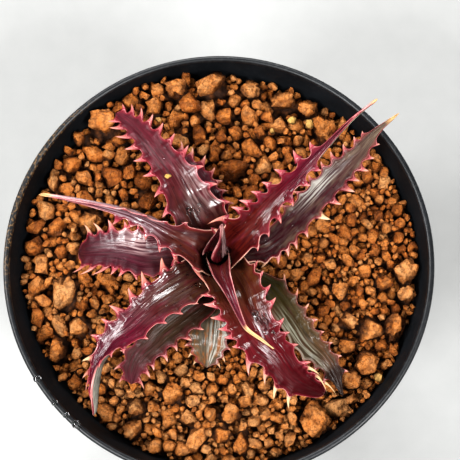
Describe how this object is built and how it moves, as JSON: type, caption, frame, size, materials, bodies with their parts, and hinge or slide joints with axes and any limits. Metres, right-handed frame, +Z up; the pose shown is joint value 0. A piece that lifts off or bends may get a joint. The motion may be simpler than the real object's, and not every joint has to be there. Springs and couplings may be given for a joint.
{
  "type": "potted dyckia bromeliad",
  "caption": "Young bromeliad with a rosette of stiff, arching, channelled leaves with hooked marginal teeth, growing in coarse granules in a plain round tapered nursery pot.",
  "frame": {"origin": "middle of the pot's flat base, on the surface that it stands on", "axes": "+Z up along the pot's axis, +Y north (towards the broad purple leaf), +X east"},
  "size_m": [0.105, 0.105, 0.112],
  "materials": {
    "pot_plastic": "matt black moulded plastic",
    "rootstock": "dull brown fibrous stem",
    "leaf_crimson": "glossy deep crimson leaf with a pink toothed margin",
    "leaf_purple": "satin purple leaf with a pink toothed margin",
    "leaf_old": "satin grey-brown leaf with silvery scales",
    "granules": "matt porous fired clay, orange-brown",
    "soil": "matt porous fired clay, darker between the grains"
  },
  "bodies": {
    "root": {"pot": "pot_plastic", "rootstock": "rootstock", "soil_bed": "soil", "leaf_spear": "leaf_crimson", "leaf_south_narrow": "leaf_crimson", "leaf_northeast_upper": "leaf_crimson", "leaf_west_upper": "leaf_crimson", "leaf_southeast_broad": "leaf_crimson", "leaf_northwest_broad": "leaf_purple", "leaf_southwest_upper": "leaf_crimson", "leaf_west_lower": "leaf_purple", "leaf_northeast_lower": "leaf_old", "leaf_southeast_lower": "leaf_old", "leaf_southwest_lower": "leaf_old", "leaf_north_old": "leaf_old", "leaf_south_old": "leaf_old", "granule_01": "granules", "granule_02": "granules", "granule_03": "granules", "granule_04": "granules", "granule_05": "granules", "granule_06": "granules", "granule_07": "granules", "granule_08": "granules", "granule_09": "granules", "granule_10": "granules", "granule_11": "granules", "granule_12": "granules", "granule_13": "granules", "granule_14": "granules", "granule_15": "granules", "granule_16": "granules", "granule_17": "granules", "granule_18": "granules", "granule_19": "granules", "granule_20": "granules", "granule_21": "granules", "granule_22": "granules", "granule_23": "granules", "granule_24": "granules", "granule_25": "granules", "granule_26": "granules", "granule_27": "granules", "granule_28": "granules", "granule_29": "granules"}
  },
  "joints": []
}
